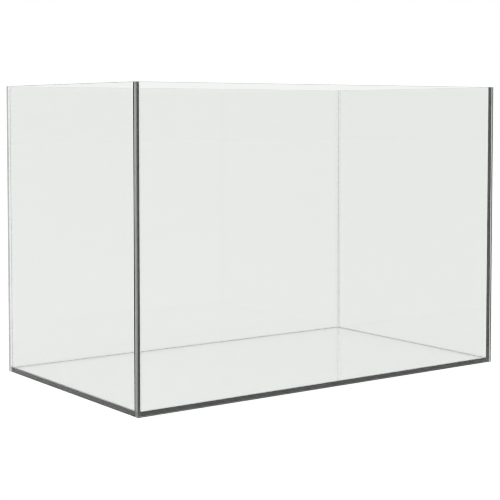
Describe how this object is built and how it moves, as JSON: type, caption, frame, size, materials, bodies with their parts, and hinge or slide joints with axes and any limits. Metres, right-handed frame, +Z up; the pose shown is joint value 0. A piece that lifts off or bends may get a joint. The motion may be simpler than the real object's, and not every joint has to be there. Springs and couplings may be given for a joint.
{
  "type": "glass aquarium tank",
  "caption": "Open-topped rectangular all-glass aquarium tank, rimless, its panes bonded edge to face with clear silicone and sealed along every inner corner.",
  "frame": {"origin": "centre of the tank's footprint, on the plane it stands on", "axes": "+Z up; +X along the length; the front pane faces -Y"},
  "size_m": [0.6, 0.35, 0.4],
  "materials": {
    "glass": "polished float glass with ground arrises",
    "joint_silicone": "clear structural silicone",
    "bead_silicone": "clear silicone tooled smooth"
  },
  "bodies": {
    "root": {"front_pane": "glass", "back_pane": "glass", "left_pane": "glass", "right_pane": "glass", "base_pane": "glass", "front_left_corner_joint": "joint_silicone", "front_right_corner_joint": "joint_silicone", "back_right_corner_joint": "joint_silicone", "back_left_corner_joint": "joint_silicone", "front_base_joint": "joint_silicone", "right_base_joint": "joint_silicone", "back_base_joint": "joint_silicone", "left_base_joint": "joint_silicone", "front_left_corner_bead": "bead_silicone", "front_right_corner_bead": "bead_silicone", "back_right_corner_bead": "bead_silicone", "back_left_corner_bead": "bead_silicone", "front_base_bead": "bead_silicone", "right_base_bead": "bead_silicone", "back_base_bead": "bead_silicone", "left_base_bead": "bead_silicone"}
  },
  "joints": []
}
